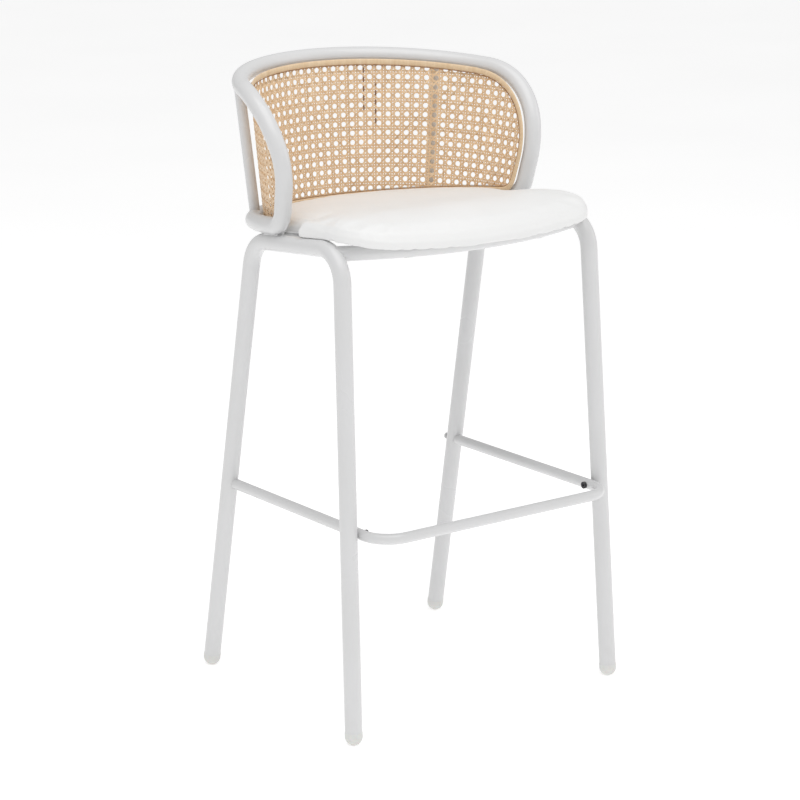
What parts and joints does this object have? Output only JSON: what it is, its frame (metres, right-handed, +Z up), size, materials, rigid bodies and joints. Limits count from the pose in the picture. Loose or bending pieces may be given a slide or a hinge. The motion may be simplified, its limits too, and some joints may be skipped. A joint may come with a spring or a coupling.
{
  "type": "bar stool with footrest",
  "caption": "Bar stool with bent-tube legs, a U-shaped footrest, an upholstered seat and a wrap-around hoop back filled with woven cane.",
  "frame": {"origin": "centre of the bounding box at floor level", "axes": "+Z up from the floor, the front of the stool faces -Y, +X to the right when looking along +Y"},
  "size_m": [0.5078, 0.4924, 0.9401],
  "materials": {
    "frame_paint": "satin powder coat",
    "glide_plastic": "matte",
    "screw_black": "black oxide",
    "zinc_steel": "zinc plated",
    "plywood": "raw plywood",
    "foam": "open-cell foam",
    "upholstery": "smooth faux leather",
    "dust_cloth": "thin nonwoven",
    "rubber": "matte",
    "cane": "natural cane",
    "rattan_binding": "natural rattan"
  },
  "bodies": {
    "root": {"side_frame_left": "frame_paint", "side_frame_right": "frame_paint", "glide_front_left": "glide_plastic", "glide_front_right": "glide_plastic", "glide_rear_left": "glide_plastic", "glide_rear_right": "glide_plastic", "footrest": "frame_paint", "footrest_front_screws": "screw_black", "footrest_rear_screws": "frame_paint", "footrest_end_plugs": "zinc_steel", "leg_rivet_nuts": "zinc_steel", "front_crossbar": "frame_paint", "rear_crossbar": "frame_paint", "seat_board": "plywood", "seat_foam": "foam", "seat_cover": "upholstery", "dust_cover": "dust_cloth", "seat_screws": "screw_black", "crossbar_caps": "glide_plastic", "seat_spacers": "rubber", "tee_nuts": "zinc_steel", "back_hoop": "frame_paint", "back_post_left": "frame_paint", "back_post_right": "frame_paint", "cane_panel": "cane", "cane_binding": "rattan_binding", "hoop_welds": "frame_paint"}
  },
  "joints": []
}
